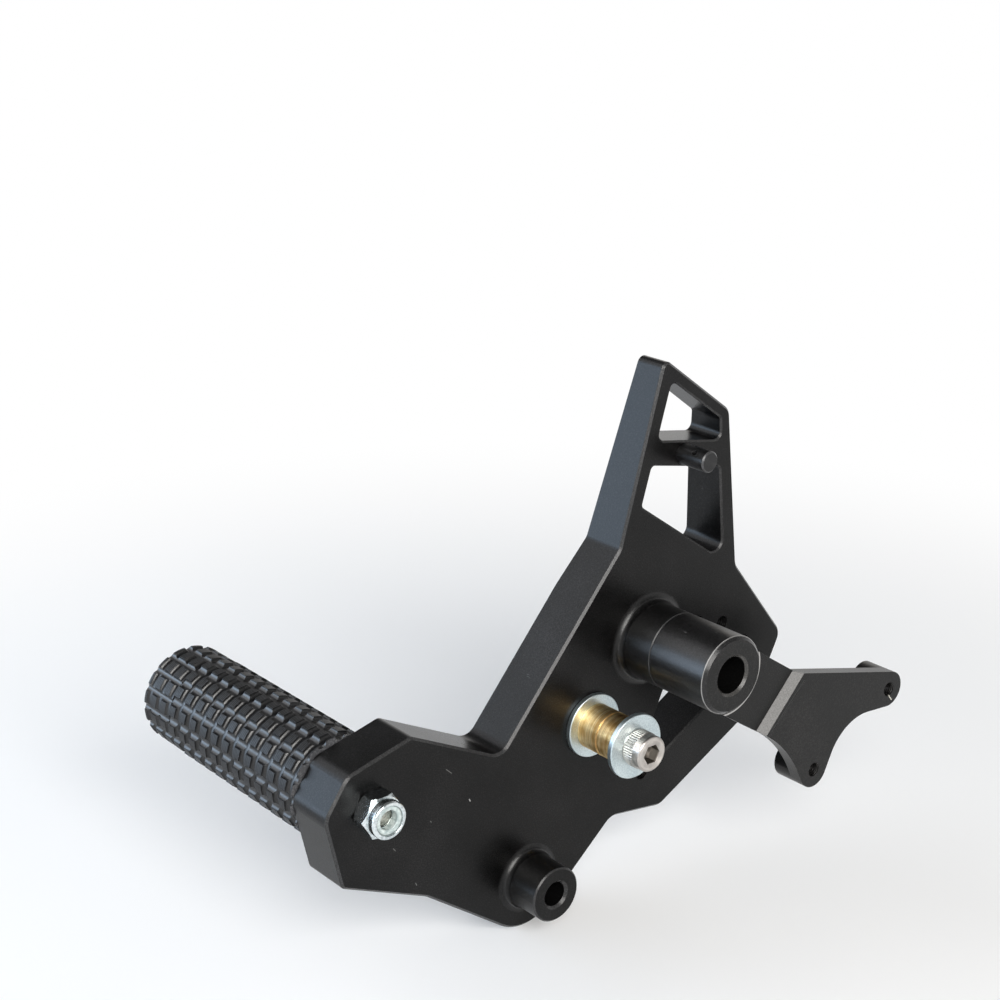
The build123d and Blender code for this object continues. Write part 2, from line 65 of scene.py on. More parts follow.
class Look:
    """A material's node tree, with short ways to add nodes to it."""

    TITLES = {"ior_level": "Specular IOR Level"}
    # Sockets of a Mix node that are in use when it mixes colours
    MIX_SHARE, MIX_FIRST, MIX_SECOND, MIX_RESULT = 0, 6, 7, 2
    # Share of a speck's radius that is solid
    SPECK_CORE = 0.4
    # Cosines between the rounded and the true normal where an edge starts and is full
    EDGE_START, EDGE_FULL = 0.985, 0.86
    EDGE_SAMPLES = 4
    # A scratch's soft ends and level in millimetres; its half width and blur as shares of its width
    SCRATCH_END_BLUR, SCRATCH_LEVEL_BLUR = 0.12, 0.05
    SCRATCH_HALF, SCRATCH_BLUR = 0.65, 0.35
    QUARTER_TURN = 0.25

    def __init__(self, name):
        self.material = bpy.data.materials.new(name)
        self.material.use_nodes = True
        self.tree = self.material.node_tree
        self.shader = self.tree.nodes["Principled BSDF"]
        self.place = self.node("ShaderNodeTexCoord").outputs["Object"]
        split = self.node("ShaderNodeSeparateXYZ", {"Vector": self.place})
        self.x, self.y, self.z = split.outputs
        self.facing = self.node("ShaderNodeNewGeometry").outputs["True Normal"]

    def node(self, kind, inputs=None, **settings):
        made = self.tree.nodes.new(kind)
        for name, value in settings.items():
            setattr(made, name, value)
        for name, value in (inputs or {}).items():
            self.feed(made.inputs[name], value)
        return made

    def feed(self, socket, value):
        if isinstance(value, bpy.types.NodeSocket):
            self.tree.links.new(value, socket)
        else:
            socket.default_value = value

    def set(self, **values):
        """Feeds the shader's sockets; base_color stands for Base Color."""
        for name, value in values.items():
            title = self.TITLES.get(name, name.replace("_", " ").title())
            self.feed(self.shader.inputs[title], value)

    def math(self, operation, first, second=0.0):
        return self.node("ShaderNodeMath", {0: first, 1: second}, operation=operation).outputs[0]

    def both(self, *factors):
        """Product of masks and numbers."""
        product = factors[0]
        for factor in factors[1:]:
            product = self.math("MULTIPLY", product, factor)
        return product

    def sum(self, *terms):
        total = terms[0]
        for term in terms[1:]:
            total = self.math("ADD", total, term)
        return total

    def mixed(self, *pairs):
        """Sum of values, each with its share."""
        return self.sum(*(self.both(value, share) for value, share in pairs))

    def ease(self, value, low, high):
        """Smooth step of a value, 0 at low and 1 at high."""
        return self.node(
            "ShaderNodeMapRange",
            {"Value": value, "From Min": low, "From Max": high},
            interpolation_type="SMOOTHSTEP",
        ).outputs[0]

    def span(self, value, start, end):
        """A 0 to 1 value spread from start to end."""
        return self.node(
            "ShaderNodeMapRange", {"Value": value, "To Min": start, "To Max": end}
        ).outputs[0]

    def spread(self, value, middle, reach):
        """A 0 to 1 value spread round a middle."""
        return self.span(value, middle - reach, middle + reach)

    def blend(self, share, first, second):
        """Colour between two colours."""
        made = self.node("ShaderNodeMix", data_type="RGBA")
        self.feed(made.inputs[self.MIX_SHARE], share)
        for index, colour in ((self.MIX_FIRST, first), (self.MIX_SECOND, second)):
            self.feed(made.inputs[index], (*colour, 1) if isinstance(colour, tuple) else colour)
        return made.outputs[self.MIX_RESULT]

    def stretched(self, scale):
        """Object coordinates scaled by axis."""
        return self.node("ShaderNodeMapping", {"Vector": self.place, "Scale": scale}).outputs[0]

    def noise(self, scale, detail, place=None):
        return self.node(
            "ShaderNodeTexNoise", {"Vector": place or self.place, "Scale": scale, "Detail": detail}
        ).outputs[0]

    def line_noise(self, along, scale, detail):
        """Noise that varies along one value only."""
        return self.node(
            "ShaderNodeTexNoise",
            {"W": along, "Scale": scale, "Detail": detail},
            noise_dimensions="1D",
        ).outputs[0]

    def cells(self, scale, size, share):
        """Round specks of a size, in cells of 1/scale, in a share of the cells."""
        made = self.node("ShaderNodeTexVoronoi", {"Vector": self.place, "Scale": scale})
        near = self.ease(made.outputs["Distance"], size * scale, self.SPECK_CORE * size * scale)
        pick = self.node("ShaderNodeSeparateColor", {0: made.outputs["Color"]}).outputs[0]
        return self.both(near, self.math("LESS_THAN", pick, share))

    def around(self, axis):
        """Distance from a Y-parallel axis."""
        dx = self.math("SUBTRACT", self.x, axis[0] * MM)
        dz = self.math("SUBTRACT", self.z, axis[1] * MM)
        return self.math("SQRT", self.sum(self.both(dx, dx), self.both(dz, dz)))

    def within(self, value, limit, blur):
        """1 where a value is under a limit, in millimetres."""
        return self.ease(value, (limit + blur) * MM, (limit - blur) * MM)

    def above(self, value, limit, blur):
        """1 where a value is over a limit, in millimetres."""
        return self.ease(value, (limit - blur) * MM, (limit + blur) * MM)

    def between(self, value, limits, blur):
        """1 where a value is between two limits, in millimetres."""
        return self.both(self.above(value, limits[0], blur), self.within(value, limits[1], blur))

    def scratch(self, start, end, width, floor_y):
        """Mask of a straight mark between two (x, z) points, on surfaces inboard of floor_y."""
        sx, sz = start
        ex, ez = end
        length = hypot(ex - sx, ez - sz)
        ux, uz = (ex - sx) / length, (ez - sz) / length
        dx = self.math("SUBTRACT", self.x, sx * MM)
        dz = self.math("SUBTRACT", self.z, sz * MM)
        along = self.sum(self.both(dx, ux), self.both(dz, uz))
        aside = self.math("SUBTRACT", self.both(dz, ux), self.both(dx, uz))
        across = self.math("ABSOLUTE", aside)
        return self.both(
            self.between(along, (0.0, length), self.SCRATCH_END_BLUR),
            self.within(across, self.SCRATCH_HALF * width, self.SCRATCH_BLUR * width),
            self.above(self.y, floor_y, self.SCRATCH_LEVEL_BLUR),
        )

    def edges(self, radius):
        """Rounded normal, and how much a point lies on an edge."""
        bevel = self.node("ShaderNodeBevel", {"Radius": radius}, samples=self.EDGE_SAMPLES)
        rounded = bevel.outputs[0]
        level = self.node(
            "ShaderNodeVectorMath", {0: rounded, 1: self.facing}, operation="DOT_PRODUCT"
        ).outputs["Value"]
        return rounded, self.ease(level, self.EDGE_START, self.EDGE_FULL)

    def bump(self, height, distance, strength, under=None):
        inputs = {"Height": height, "Distance": distance, "Strength": strength}
        if under is not None:
            inputs["Normal"] = under
        return self.node("ShaderNodeBump", inputs).outputs[0]

    def lean(self):
        """1 on surfaces that face along Y, 0 on walls."""
        split = self.node("ShaderNodeSeparateXYZ", {"Vector": self.facing})
        return self.math("ABSOLUTE", split.outputs["Y"])

    def scatter_along_axis(self, amount):
        """Highlights drawn out along Y, as feed lines round that axis draw them."""
        about = self.node("ShaderNodeTangent", direction_type="RADIAL", axis="Y").outputs[0]
        self.set(tangent=about, anisotropic=amount, anisotropic_rotation=self.QUARTER_TURN)


BARE_METAL = (0.5, 0.5, 0.49)
# Pale metal for painted highlight lines round the hub
PALE_HIGHLIGHT_METAL = (0.40, 0.395, 0.39)
DUST = (0.34, 0.33, 0.32)
# Near black for painted shade in bores and in the tool line's groove
SHADE_BLACK = (0.0012, 0.0012, 0.0012)


class BlackSkin(Look):
    """Bead-blasted aluminium with a black skin: grain, cloudy sheen, worn edges with painted
    highlights on edges and chamfers, dust and hairs.
    """

    EDGE_RADIUS = 0.11 * MM
    CLOUD = (45, 3)
    GRAIN_SHARE, FINE_SHARE, CLOUD_SHARE = 0.5, 0.3, 0.2
    MOTTLE_LEVELS = (0.47, 0.64)
    # Leans between which a surface counts as a 45 degree chamfer, and how much paler it is painted:
    # a paler finish and a painted highlight
    CHAMFER_FROM, CHAMFER_TO = (0.62, 0.68), (0.78, 0.72)
    CHAMFER_SHARES = (0.1, 0.5)
    # Pale patches along edges: rubbed wear and a painted edge highlight
    RUB_LEVELS, RUB_SHARES = (0.5, 0.66), (0.15, 0.7)
    # Specks as cells per metre, size and share of cells
    CHIPS, CHIP_SHARE = (240, 0.3 * MM, 0.14), 0.7
    DUST_SPECKS, DUST_SHARE = (150, 0.13 * MM, 0.22), 0.3
    HAIR_STRETCH, HAIR_NOISE, HAIR_LEVELS = (240, 240, 5200), (1.0, 2), (0.72, 0.75)
    HAIR_PATCHES, HAIR_PATCH_LEVELS, HAIR_SHARE = (38, 2), (0.62, 0.7), 0.3
    # How far roughness varies, and how much smoother chamfers are
    CLOUD_ROUGHNESS, FINE_ROUGHNESS, CHAMFER_POLISH = 0.05, 0.07, 0.08
    GRAIN_DEPTH, FINE_DEPTH, FEED_DEPTH = 0.035 * MM, 0.008 * MM, 0.006 * MM
    BUMP_STRENGTH = 0.8
    FEED_LINES = (5200, 2.0)
    FEED_SCATTER = 0.75

    def __init__(self, name, dark, pale, rough, ior_level, edge_wear_and_highlight_tone):
        super().__init__(name)
        rounded, edge = self.edges(self.EDGE_RADIUS)
        grain = self.noise(*GRAIN)
        fine = self.noise(*FINE)
        cloud = self.noise(*self.CLOUD)
        mottle = self.mixed(
            (grain, self.GRAIN_SHARE), (fine, self.FINE_SHARE), (cloud, self.CLOUD_SHARE)
        )
        self.tone = self.blend(self.ease(mottle, *self.MOTTLE_LEVELS), dark, pale)
        lean = self.lean()
        chamfer = self.both(self.ease(lean, *self.CHAMFER_FROM), self.ease(lean, *self.CHAMFER_TO))
        # Chamfers painted paler: a paler finish and a painted highlight
        self.mark(chamfer, self.span(grain, *self.CHAMFER_SHARES), edge_wear_and_highlight_tone)
        # Edges painted pale in patches: rubbed wear and a painted edge highlight
        edge_patches = self.ease(self.noise(*EDGE_PATCH_NOISE), *self.RUB_LEVELS)
        self.mark(edge, self.span(edge_patches, *self.RUB_SHARES), edge_wear_and_highlight_tone)
        self.mark(self.both(edge, self.cells(*self.CHIPS)), self.CHIP_SHARE, BARE_METAL)
        self.mark(self.cells(*self.DUST_SPECKS), self.DUST_SHARE, DUST)
        hairs = self.ease(
            self.noise(*self.HAIR_NOISE, self.stretched(self.HAIR_STRETCH)), *self.HAIR_LEVELS
        )
        patches = self.ease(self.noise(*self.HAIR_PATCHES), *self.HAIR_PATCH_LEVELS)
        self.mark(self.both(hairs, patches), self.HAIR_SHARE, DUST)
        roughness = self.sum(
            self.spread(cloud, rough, self.CLOUD_ROUGHNESS),
            self.spread(fine, 0.0, self.FINE_ROUGHNESS),
        )
        polish = self.both(chamfer, self.CHAMFER_POLISH)
        self.roughness = self.math("SUBTRACT", roughness, polish)
        self.skin = rounded
        self.press(grain, self.GRAIN_DEPTH)
        self.press(fine, self.FINE_DEPTH)
        self.ior_level = ior_level

    def press(self, height, depth, strength=BUMP_STRENGTH):
        """Adds a relief to the skin."""
        self.skin = self.bump(height, depth, strength, self.skin)

    def mark(self, mask, share, colour):
        """Blends a colour into the tone where a mask says."""
        self.tone = self.blend(self.both(mask, share), self.tone, colour)

    def turn(self, axis):
        """Feed lines of a lathe about an axis, which scatter light along it."""
        run = self.sum(self.y, self.around(axis))
        self.press(self.line_noise(run, *self.FEED_LINES), self.FEED_DEPTH)
        self.scatter_along_axis(self.FEED_SCATTER)

    def close(self):
        self.set(base_color=self.tone, roughness=self.roughness, normal=self.skin)
        self.set(ior_level=self.ior_level)
        return self


BLACK_DARK = (0.0003, 0.0003, 0.0003)
BLACK_PALE = (0.0150, 0.0142, 0.0145)
# Finish of the bosses' foot fillets, which the hub's chamfer shares
FOOT_SKIN = {"rough": 0.32, "ior_level": 0.30, "edge_wear_and_highlight_tone": (0.045, 0.045, 0.046)}

# Marks on the side plate's inboard face: start and end (x, z), width and strength
PLATE_MARKS = [
    ((71.0, -17.2), (69.2, -18.9), 0.13, 0.22),
    ((63.5, -28.3), (63.1, -29.1), 0.22, 0.60),
    ((81.4, -46.6), (81.0, -47.5), 0.16, 0.25),
    ((88.3, -34.0), (87.6, -35.0), 0.14, 0.22),
    ((76.3, -30.3), (76.0, -30.8), 0.18, 0.22),
]
PLATE_MARK_FLOOR = -0.6


def make_plate_black():
    """The side plate's skin, with the few marks it has picked up on its inboard face."""
    look = BlackSkin(
        "plate_black", BLACK_DARK, BLACK_PALE,
        rough=0.30, ior_level=0.22, edge_wear_and_highlight_tone=(0.11, 0.11, 0.112),
    )
    for start, end, width, share in PLATE_MARKS:
        look.mark(look.scratch(start, end, width, PLATE_MARK_FLOOR), share, BARE_METAL)
    return look.close()


# Tool line across the fork's face just past the step, with painted shade in its groove, and a nick
# at the upper tip: start and end (x, z), width, and the height above which they lie
TOOL_LINE, TOOL_LINE_SHARE = ((-9.8, -26.4), (-27.8, -9.2), 0.3, 33.2), 0.85
TOOL_LINE_DEPTH = 0.3 * MM
TIP_NICK, TIP_NICK_SHARE = ((-64.6, -24.3), (-66.3, -26.5), 0.26, 33.0), 0.9
NICK_METAL = (0.55, 0.53, 0.47)
# Painted highlight: a pale ring on the arm's face round the hub; radii, heights, blur and share
HUB_RING, ARM_LEVEL, HUB_RING_BLUR, HUB_RING_SHARE = (11.5, 11.95), (30.9, 31.4), 0.05, 0.8


def make_bracket_black():
    """The cylinder bracket's skin: a tool line with painted shade in it, a nicked tip, and a
    painted highlight ring on the arm at the hub.
    """
    look = BlackSkin(
        "bracket_black", BLACK_DARK, pale=(0.0160, 0.0150, 0.0145),
        rough=0.33, ior_level=0.31, edge_wear_and_highlight_tone=(0.16, 0.156, 0.15),
    )
    groove = look.scratch(*TOOL_LINE)
    # Painted shade in the tool line's groove
    look.mark(groove, TOOL_LINE_SHARE, SHADE_BLACK)
    look.press(look.math("SUBTRACT", 1.0, groove), TOOL_LINE_DEPTH, 1.0)
    look.mark(look.scratch(*TIP_NICK), TIP_NICK_SHARE, NICK_METAL)
    # Painted highlight ring round the hub on the arm's face
    ring = look.between(look.around(HUB_AXIS), HUB_RING, HUB_RING_BLUR)
    on_arm = look.between(look.y, ARM_LEVEL, HUB_RING_BLUR)
    look.mark(look.both(ring, on_arm), HUB_RING_SHARE, PALE_HIGHLIGHT_METAL)
    return look.close()


# Painted highlight along the outer edge of the hub's chamfer: radius it starts at, blur, patchiness
# and share
RIM_START, RIM_BLUR, RIM_PATCHES, RIM_SHARE = 10.8, 0.06, (0.5, 1.0), 0.65


def make_rim_black():
    """The hub's front chamfer: dark, with a thin pale painted highlight along its outer edge."""
    look = BlackSkin("rim_black", BLACK_DARK, BLACK_PALE, **FOOT_SKIN)
    # Painted highlight in patches along the chamfer's outer edge
    outer = look.above(look.around(HUB_AXIS), RIM_START, RIM_BLUR)
    patches = look.span(look.noise(*EDGE_PATCH_NOISE), *RIM_PATCHES)
    look.mark(look.both(outer, patches), RIM_SHARE, PALE_HIGHLIGHT_METAL)
    return look.close()


TOOTH_LINES = {"Scale": 480.0, "Distortion": 1.6, "Detail": 2.0, "Detail Scale": 0.4}
TOOTH_LINE_DEPTH = 0.06 * MM
TOOTH_LINE_LEVELS, TOOTH_LINE_SHARE = (0.55, 0.9), 0.4
TOOTH_LINE_TONE = (0.03, 0.03, 0.032)


def make_tooth_black():
    """The tops of the peg's teeth: duller than the grooves, with the cutter's lines across them."""
    look = BlackSkin(
        "tooth_black", dark=(0.001, 0.001, 0.0011), pale=(0.012, 0.012, 0.0125),
        rough=0.46, ior_level=0.26, edge_wear_and_highlight_tone=(0.09, 0.09, 0.094),
    )
    lines = look.node(
        "ShaderNodeTexWave", {"Vector": look.place, **TOOTH_LINES}, bands_direction="Y"
    ).outputs["Fac"]
    look.press(lines, TOOTH_LINE_DEPTH)
    look.mark(look.ease(lines, *TOOTH_LINE_LEVELS), TOOTH_LINE_SHARE, TOOTH_LINE_TONE)
    return look.close()


def turned_black(name, axis, pale=BLACK_PALE, ior_level=0.6):
    """Black skin over a turned surface."""
    look = BlackSkin(
        name, BLACK_DARK, pale, rough=0.38, ior_level=ior_level, edge_wear_and_highlight_tone=(0.16, 0.16, 0.165)
    )
    look.turn(axis)
    return look.close()


plate_black = make_plate_black()
bracket_black = make_bracket_black()
peg_black = BlackSkin(
    "peg_black", dark=(0.002, 0.002, 0.0022), pale=(0.012, 0.012, 0.0132),
    rough=0.30, ior_level=0.55, edge_wear_and_highlight_tone=(0.07, 0.071, 0.075),
).close()
tooth_black = make_tooth_black()
rim_black = make_rim_black()
# The peg's end face, painted mid-grey: painted light on a face that sits in shade
end_face_painted_light = BlackSkin(
    "end_face_painted_light", dark=(0.05, 0.051, 0.055), pale=(0.12, 0.121, 0.127),
    rough=0.45, ior_level=0.5, edge_wear_and_highlight_tone=(0.14, 0.14, 0.145),
).close()
upper_boss_black = turned_black("upper_boss_black", HUB_AXIS)
lower_boss_black = turned_black("lower_boss_black", LOWER_BOSS_AXIS)
hub_black = turned_black("hub_black", HUB_AXIS)
foot_black = BlackSkin("foot_black", BLACK_DARK, BLACK_PALE, **FOOT_SKIN).close()
post_black = turned_black("post_black", POST_AXIS, pale=(0.012, 0.012, 0.014), ior_level=0.5)
# Bore walls: near black with little shine, as painted shade in the holes
bore_black = BlackSkin(
    "bore_black", SHADE_BLACK, pale=(0.005, 0.005, 0.005),
    rough=0.75, ior_level=0.06, edge_wear_and_highlight_tone=(0.01, 0.01, 0.01),
).close()

METAL_EDGE_RADIUS = 0.12 * MM
METAL_LEVELS = (0.36, 0.62)

ZINC_EDGE, ZINC_EDGE_SHARE = (0.86, 0.87, 0.87), 0.5
ZINC_PITS, ZINC_PIT_SHARE = (900, 0.17 * MM, 0.3), 0.3
ZINC_PIT_TONE = (0.3, 0.31, 0.32)
ZINC_CLOUD, SPANGLE_DETAIL = (160, 2), 3
SPANGLE_SHARE, ZINC_CLOUD_SHARE = 0.6, 0.4
SPANGLE_ROUGHNESS, ZINC_FINE_ROUGHNESS = 0.07, 0.05
# Relief as depth and strength
SPANGLE_BUMP, ZINC_FINE_BUMP = (0.004 * MM, 0.6), (0.0012 * MM, 0.7)


def plated(name, dark, pale, rough, spangle):
    """Barrel-plated zinc: bright metal with small soft spangles, pits and rubbed edges."""
    look = Look(name)
    rounded, edge = look.edges(METAL_EDGE_RADIUS)
    patch = look.noise(spangle, SPANGLE_DETAIL)
    cloud = look.noise(*ZINC_CLOUD)
    fine = look.noise(*FINE)
    mixed = look.mixed((patch, SPANGLE_SHARE), (cloud, ZINC_CLOUD_SHARE))
    tone = look.blend(look.ease(mixed, *METAL_LEVELS), dark, pale)
    tone = look.blend(look.both(edge, ZINC_EDGE_SHARE), tone, ZINC_EDGE)
    pits = look.cells(*ZINC_PITS)
    tone = look.blend(look.both(pits, ZINC_PIT_SHARE), tone, ZINC_PIT_TONE)
    roughness = look.sum(
        look.spread(patch, rough, SPANGLE_ROUGHNESS), look.spread(fine, 0.0, ZINC_FINE_ROUGHNESS)
    )
    skin = look.bump(patch, *SPANGLE_BUMP, rounded)
    skin = look.bump(fine, *ZINC_FINE_BUMP, skin)
    look.set(base_color=tone, metallic=1.0, roughness=roughness, normal=skin)
    return look


washer_zinc = plated(
    "washer_zinc", dark=(0.52, 0.61, 0.64), pale=(0.70, 0.79, 0.81), rough=0.40, spangle=2600
)
nut_zinc = plated(
    "nut_zinc", dark=(0.52, 0.58, 0.60), pale=(0.80, 0.85, 0.86), rough=0.20, spangle=1500
)
bolt_zinc = plated(
    "bolt_zinc", dark=(0.34, 0.33, 0.29), pale=(0.56, 0.55, 0.50), rough=0.30, spangle=2200
)

# Rings and wider bands of a lathe's feed: bands per pitch, details, shares and levels
BANDS_PER_PITCH = 0.14
RING_DETAIL, BAND_DETAIL = 2.0, 1.0
TURNED_CLOUD = (300, 3)
BAND_SHARE, TURNED_CLOUD_SHARE = 0.45, 0.55
RING_LEVELS, RING_SHARE = (0.42, 0.3), 0.6
TURNED_EDGE_SHARE = 0.4
TURNED_CLOUD_ROUGHNESS, RING_ROUGHNESS = 0.06, 0.05
RING_STRENGTH, TURNED_SCATTER = 0.9, 0.85
# Painted shade in a screw's socket
SOCKET_BLUR, SOCKET_TOP_BLUR = 0.05, 0.25
SOCKET_SHARES, SOCKET_SHADE_TONE, SOCKET_ROUGHNESS = (0.7, 0.95), (0.12, 0.105, 0.085), 0.15


def turned(name, dark, pale, deep, rough, pitch, depth, socket=None):
    """Metal off a lathe, about the pivot: rings of the tool's feed, which scatter light along Y."""
    look = Look(name)
    rounded, edge = look.edges(METAL_EDGE_RADIUS)
    reach = look.around(PIVOT_AXIS)
    run = look.sum(look.y, reach)
    rings = look.line_noise(run, 1 / pitch, RING_DETAIL)
    bands = look.line_noise(run, BANDS_PER_PITCH / pitch, BAND_DETAIL)
    cloud = look.noise(*TURNED_CLOUD)
    mixed = look.mixed((bands, BAND_SHARE), (cloud, TURNED_CLOUD_SHARE))
    tone = look.blend(look.ease(mixed, *METAL_LEVELS), dark, pale)
    tone = look.blend(look.both(look.ease(rings, *RING_LEVELS), RING_SHARE), tone, deep)
    tone = look.blend(look.both(edge, TURNED_EDGE_SHARE), tone, pale)
    roughness = look.sum(
        look.spread(cloud, rough, TURNED_CLOUD_ROUGHNESS), look.spread(rings, 0.0, RING_ROUGHNESS)
    )
    # Painted shade on the socket's walls
    if socket:
        width, top = socket
        inside = look.both(
            look.within(reach, width, SOCKET_BLUR), look.within(look.y, top, SOCKET_TOP_BLUR)
        )
        tone = look.blend(look.both(inside, look.span(cloud, *SOCKET_SHARES)), tone, SOCKET_SHADE_TONE)
        roughness = look.sum(roughness, look.both(inside, SOCKET_ROUGHNESS))
    skin = look.bump(rings, depth, RING_STRENGTH, rounded)
    look.set(base_color=tone, metallic=1.0, roughness=roughness, normal=skin)
    look.scatter_along_axis(TURNED_SCATTER)
    return look


bush_brass = turned(
    "bush_brass",
    dark=(0.66, 0.40, 0.14), pale=(0.96, 0.75, 0.40), deep=(0.24, 0.11, 0.03),
    rough=0.42, pitch=0.24 * MM, depth=0.025 * MM,
)
# The screw's socket, as its radius and the height of its mouth
screw_steel = turned(
    "screw_steel",
    dark=(0.46, 0.43, 0.40), pale=(0.66, 0.62, 0.58), deep=(0.34, 0.32, 0.29),
    rough=0.34, pitch=0.16 * MM, depth=0.006 * MM, socket=(2.95, 23.7),
)

NYLON_CLOUD, NYLON_LEVELS = (700, 3), (0.3, 0.7)
NYLON_DARK, NYLON_PALE = (0.30, 0.37, 0.37), (0.55, 0.61, 0.60)
NYLON_RINGS, NYLON_RING_BUMP = (5000, 1.0), (0.02 * MM, 0.7)
# Painted shade in the gap between the insert and the nut's collar
NYLON_RIM, NYLON_RIM_BLUR, NYLON_RIM_SHARE = 3.75, 0.12, 0.75
NYLON_GAP_SHADE = (0.07, 0.08, 0.08)
NYLON_ROUGHNESS = (0.28, 0.44)
NYLON_DEPTH, NYLON_GLOW = 0.9 * MM, 0.2


def make_nylon():
    """Pale translucent nylon, a little cloudy, with rubbed rings where the bolt went in."""
    look = Look("nylon")
    cloud = look.noise(*NYLON_CLOUD)
    reach = look.around(PEG_AXIS)
    tone = look.blend(look.ease(cloud, *NYLON_LEVELS), NYLON_DARK, NYLON_PALE)
    # Painted shade at the insert's outer rim
    rim = look.above(reach, NYLON_RIM, NYLON_RIM_BLUR)
    tone = look.blend(look.both(rim, NYLON_RIM_SHARE), tone, NYLON_GAP_SHADE)
    skin = look.bump(look.line_noise(reach, *NYLON_RINGS), *NYLON_RING_BUMP)
    look.set(base_color=tone, roughness=look.span(cloud, *NYLON_ROUGHNESS), normal=skin)
    look.set(subsurface_weight=NYLON_GLOW, subsurface_scale=1.0)
    look.set(subsurface_radius=(NYLON_DEPTH, NYLON_DEPTH, NYLON_DEPTH))
    return look


nylon = make_nylon()

looks = {
    "side_plate": plate_black,
    "footpeg": peg_black,
    "peg_end_piece": peg_black,
    "peg_bolt": bolt_zinc,
    "peg_lock_nut": nut_zinc,
    "lock_nut_insert": nylon,
    "inner_pivot_washer": washer_zinc,
    "outer_pivot_washer": washer_zinc,
    "pivot_bush": bush_brass,
    "pivot_screw": screw_steel,
    "spring_post": post_black,
    "master_cylinder_bracket": bracket_black,
}
for name, look in looks.items():
    slots = nodes[name].data.materials
    slots.clear()
    slots.append(look.material)

# Largest lean to Y of the faces that a look covers: round walls, also fillets and chamfers, or all
WALLS, SLOPES, ALL_FACES = 0.2, 0.999, 1.1


def cover(node, axis, radii, heights, lean, look):
    """Gives faces round an axis their own look, between two radii and two heights, up to a lean."""
    mesh = nodes[node].data
    mesh.materials.append(look.material)
    index = len(mesh.materials) - 1
    for face in mesh.polygons:
        centre = face.center / MM
        radius = hypot(centre.x - axis[0], centre.z - axis[1])
        inside = radii[0] < radius < radii[1] and heights[0] < centre.y < heights[1]
        if inside and abs(face.normal.y) < lean:
            face.material_index = index


# Faces with a look of their own: node, axis, radii and heights in millimetres, faces, look
BRACKET = "master_cylinder_bracket"
PATCHES = [
    ("side_plate", HUB_AXIS, (11.0, 13.7), (0.02, 2.7), SLOPES, foot_black),
    ("side_plate", LOWER_BOSS_AXIS, (7.8, 10.5), (0.02, 2.7), SLOPES, foot_black),
    ("side_plate", HUB_AXIS, (10.5, 11.05), (0.0, 13.5), WALLS, upper_boss_black),
    ("side_plate", LOWER_BOSS_AXIS, (7.3, 7.85), (0.0, 12.5), WALLS, lower_boss_black),
    (BRACKET, HUB_AXIS, (9.9, 11.1), (12.0, 32.4), WALLS, hub_black),
    (BRACKET, HUB_AXIS, (9.9, 11.05), (31.2, 32.55), SLOPES, rim_black),
    # The peg's end face gets painted light
    ("footpeg", PEG_AXIS, (0.0, 15.0), (-15.25, -15.15), ALL_FACES, end_face_painted_light),
    ("footpeg", PEG_AXIS, (14.2, 15.0), (-200.0, 20.0), WALLS, tooth_black),
    ("peg_end_piece", PEG_AXIS, (14.0, 15.0), (-200.0, 20.0), WALLS, tooth_black),
    # Bore walls get painted shade
    ("side_plate", HUB_AXIS, (0.0, 5.25), (-20.0, 20.0), WALLS, bore_black),
    ("side_plate", LOWER_BOSS_AXIS, (0.0, 3.55), (-20.0, 20.0), WALLS, bore_black),
    (BRACKET, HUB_AXIS, (0.0, 5.25), (10.0, 40.0), WALLS, bore_black),
]
for patch in PATCHES:
    cover(*patch)


def piece_of(name, points, faces, look, body, smooth):
    """A mesh piece, with points in millimetres, that rides on a CAD body."""
    mesh = bpy.data.meshes.new(name)
    mesh.from_pydata([Vector(point) * MM for point in points], [], faces)
    mesh.update()
    mesh.polygons.foreach_set("use_smooth", [smooth] * len(mesh.polygons))
    mesh.materials.append(look.material)
    made = bpy.data.objects.new(name, mesh)
    bpy.context.scene.collection.objects.link(made)
    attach(made, body)


def on_circle(axis, radius, turn, y):
    return (axis[0] + radius * cos(turn), y, axis[1] + radius * sin(turn))


HOLE_RADIUS, CREST_RADIUS, THREAD_PITCH = 2.1, 1.9, 0.8
THREAD_STEPS = 36
# Section of the ridge: radius, and height as a share of the pitch
THREAD_SECTION = [
    (HOLE_RADIUS, -0.42), (CREST_RADIUS, -0.06), (CREST_RADIUS, 0.06), (HOLE_RADIUS, 0.42)
]


def thread(name, axis, low_y, high_y, look, body, slot):
    """Helical ridge in a tapped hole, between two heights."""
    count = int((high_y - low_y) / THREAD_PITCH * THREAD_STEPS)
    corners = len(THREAD_SECTION)
    points = []
    for i in range(count + 1):
        middle = low_y + THREAD_PITCH * i / THREAD_STEPS
        for radius, share in THREAD_SECTION:
            y = min(max(middle + share * THREAD_PITCH, low_y), high_y)
            points.append(on_circle(axis, radius, tau * i / THREAD_STEPS, y))
    faces = []
    for i in range(count):
        for j in range(corners - 1):
            a = corners * i + j
            faces.append((a, a + 1, a + corners + 1, a + corners))
    piece_of(name, points, faces, look, body, smooth=True)


GUARD_THREAD_RUN = (-14.9, -0.3)
FORK_THREAD_RUN = (23.6, 33.0)
for index, hole in enumerate(TAPPED_HOLES, 1):
    thread(
        f"guard_hole_thread_{index}", hole, *GUARD_THREAD_RUN, plate_black, "plate", "plate_black"
    )
for index, hole in enumerate(FORK_HOLES, 1):
    thread(
        f"fork_hole_thread_{index}", hole, *FORK_THREAD_RUN,
        bracket_black, "cylinder_bracket", "bracket_black",
    )

# Knurl of the pivot screw's head, in millimetres; its roots lie just under the head's surface
KNURL_ROOT, KNURL_HEIGHT, KNURL_TEETH = 4.97, 0.2, 46
KNURL_LOW, KNURL_HIGH, KNURL_RUNOUT = 18.2, 21.6, 0.25


